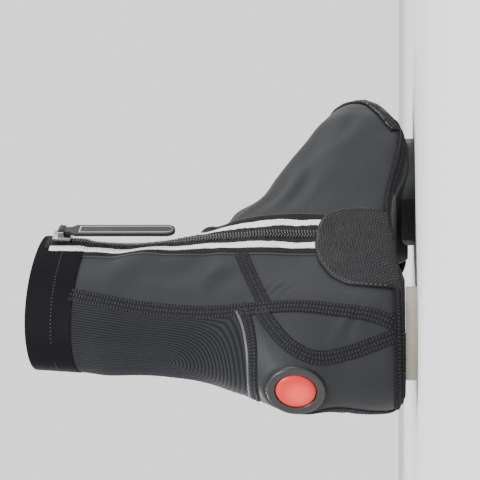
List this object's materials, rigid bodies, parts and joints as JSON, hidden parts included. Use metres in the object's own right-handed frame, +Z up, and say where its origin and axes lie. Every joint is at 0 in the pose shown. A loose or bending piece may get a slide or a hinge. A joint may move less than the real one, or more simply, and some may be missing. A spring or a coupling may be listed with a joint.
{
  "type": "cycling overshoe",
  "caption": "Zipped stretch overshoe for a cycling shoe, right foot, with cuff, toe cap, heel lamp and the road sole that shows through its openings.",
  "frame": {"origin": "on the floor, below the middle of the whole shoe's box", "axes": "+X from heel to toe, +Y to the inner side of the foot, +Z up; right shoe"},
  "size_m": [0.312, 0.1088, 0.2353],
  "materials": {
    "coated_stretch": "coated stretch fabric, soft sheen",
    "smooth_stretch": "smooth matt stretch fabric",
    "elastic_tape": "folded elastic tape, coverstitched",
    "ribbed_elastic": "ribbed elastic webbing",
    "tough_weave": "speckled tough weave",
    "scaled_fabric": "fabric with small raised scales",
    "zip_weave": "narrow woven tape",
    "zip_nylon": "nylon coil",
    "plated_metal": "plated, lightly worn",
    "pull_rubber": "moulded rubber with a pale border line",
    "moulded_bezel": "moulded, satin",
    "red_lens": "translucent, glossy",
    "moulded_sole": "moulded composite, satin to gloss",
    "insole_foam": "foam under fabric",
    "pale_rubber": "cream, fine relief",
    "dark_insert": "threaded metal insert"
  },
  "bodies": {
    "root": {"upper": "coated_stretch", "cuff": "smooth_stretch", "sole_binding": "elastic_tape", "arch_strap": "ribbed_elastic", "toe_cap": "tough_weave", "zip_patch": "scaled_fabric", "zip_tape": "zip_weave", "zip_coil": "zip_nylon", "zip_slider": "plated_metal", "light_bezel": "moulded_bezel", "light_lens": "red_lens", "sole_plate": "moulded_sole", "insole": "insole_foam", "heel_tread": "pale_rubber", "bolt_insert_1": "dark_insert", "bolt_insert_2": "dark_insert", "bolt_insert_3": "dark_insert"},
    "pull": {"pull_tab": "pull_rubber"}
  },
  "joints": [
    {"name": "pull_swing", "type": "hinge", "parent": "root", "child": "pull", "pos_m": [-0.0514, -0.04176, 0.2209], "axis": [-1, 0, 0], "range_deg": [0, 160]}
  ]
}
